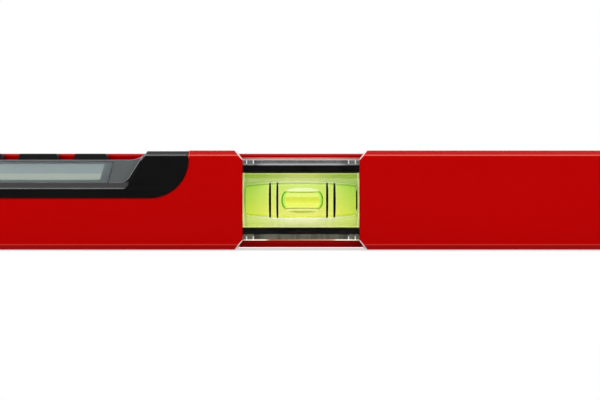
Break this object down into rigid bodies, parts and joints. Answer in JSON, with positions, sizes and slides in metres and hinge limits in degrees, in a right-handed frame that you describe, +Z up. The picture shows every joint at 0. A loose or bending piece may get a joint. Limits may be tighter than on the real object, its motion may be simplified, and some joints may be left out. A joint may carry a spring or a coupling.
{
  "type": "digital spirit level",
  "caption": "Red box-section spirit level with a bevelled centre vial window, a plumb vial, rubber ends and a black inset module with a sloped blank display and top keys.",
  "frame": {"origin": "middle of the lower measuring face, under the middle of the bounding box", "axes": "+X along the level to the right as seen from the display side, +Y from the display side to the rear, +Z up"},
  "size_m": [0.6, 0.024, 0.052],
  "materials": {
    "red_coat": "gloss red powder coat over an aluminium extrusion, bright where the window is milled",
    "bumper_rubber": "soft black moulded rubber",
    "black_shell": "fine satin black moulding",
    "grey_panel": "satin mid-grey moulding",
    "pane_clear": "clear grey-tinted polycarbonate",
    "lcd_face": "blank grey-green liquid crystal glass",
    "light_guide": "white light guide",
    "cover_clear": "clear acrylic with bevelled margins",
    "vial_acrylic": "pale yellow-green acrylic",
    "vial_spirit": "fluorescent yellow-green liquid",
    "vial_air": "air bubble",
    "ring_black": "black marker band",
    "plug_green": "dark green sealing plug",
    "circuit_board": "green solder mask",
    "chip_black": "black epoxy package",
    "bright_metal": "plated steel",
    "cell_wrap": "plain wrapped dry cell"
  },
  "bodies": {
    "level_body": {"battery_cell_left": "cell_wrap", "battery_cell_right": "cell_wrap", "battery_contact_left": "bright_metal", "battery_contact_right": "bright_metal", "battery_door_pins": "bright_metal", "battery_door_seal": "bumper_rubber", "battery_tray": "black_shell", "buzzer": "chip_black", "case_screws": "bright_metal", "center_cover_front": "cover_clear", "center_cover_rear": "cover_clear", "center_saddle_bottom": "black_shell", "center_saddle_top": "black_shell", "center_vial_block": "vial_acrylic", "center_vial_plug": "plug_green", "center_vial_rings": "ring_black", "center_vial_spirit": "vial_spirit", "display_bezel": "grey_panel", "display_board": "circuit_board", "display_connector": "chip_black", "display_mask": "grey_panel", "display_pane": "pane_clear", "end_bumper_left": "bumper_rubber", "end_bumper_right": "bumper_rubber", "end_plug_left": "black_shell", "end_plug_right": "black_shell", "key_board": "circuit_board", "key_switches": "black_shell", "lcd_backlight": "light_guide", "lcd_panel": "lcd_face", "main_board": "circuit_board", "module_base": "black_shell", "module_gasket": "bumper_rubber", "module_housing": "black_shell", "module_screws": "bright_metal", "plumb_cover_front": "cover_clear", "plumb_cover_rear": "cover_clear", "plumb_frame": "black_shell", "plumb_vial_block": "vial_acrylic", "plumb_vial_plug": "plug_green", "plumb_vial_rings": "ring_black", "plumb_vial_spirit": "vial_spirit", "processor_chip": "chip_black", "profile_body": "red_coat", "tilt_sensor": "bright_metal"},
    "key_left": {"button_left": "black_shell", "plunger_left": "black_shell"},
    "key_middle": {"button_middle": "black_shell", "plunger_middle": "black_shell"},
    "key_right": {"button_right": "black_shell", "plunger_right": "black_shell"},
    "battery_cover": {"battery_door": "black_shell"},
    "center_bubble": {"center_vial_bubble": "vial_air"},
    "plumb_bubble": {"plumb_vial_bubble": "vial_air"}
  },
  "joints": [
    {"name": "press_left", "type": "slide", "parent": "level_body", "child": "key_left", "axis": [0, 0, -1], "range_m": [0, 0.0009], "stiffness_N_per_m": 1500},
    {"name": "press_middle", "type": "slide", "parent": "level_body", "child": "key_middle", "axis": [0, 0, -1], "range_m": [0, 0.0009], "stiffness_N_per_m": 1500},
    {"name": "press_right", "type": "slide", "parent": "level_body", "child": "key_right", "axis": [0, 0, -1], "range_m": [0, 0.0009], "stiffness_N_per_m": 1500},
    {"name": "battery_cover_hinge", "type": "hinge", "parent": "level_body", "child": "battery_cover", "pos_m": [-0.1431, 0.011, 0.0076], "axis": [-1, 0, 0], "range_deg": [0, 90]},
    {"name": "center_bubble_run", "type": "slide", "parent": "level_body", "child": "center_bubble", "axis": [1, 0, 0], "range_m": [-0.016, 0.016], "stiffness_N_per_m": 20},
    {"name": "plumb_bubble_run", "type": "slide", "parent": "level_body", "child": "plumb_bubble", "axis": [0, 0, 1], "range_m": [-0.009, 0.009], "stiffness_N_per_m": 100}
  ]
}
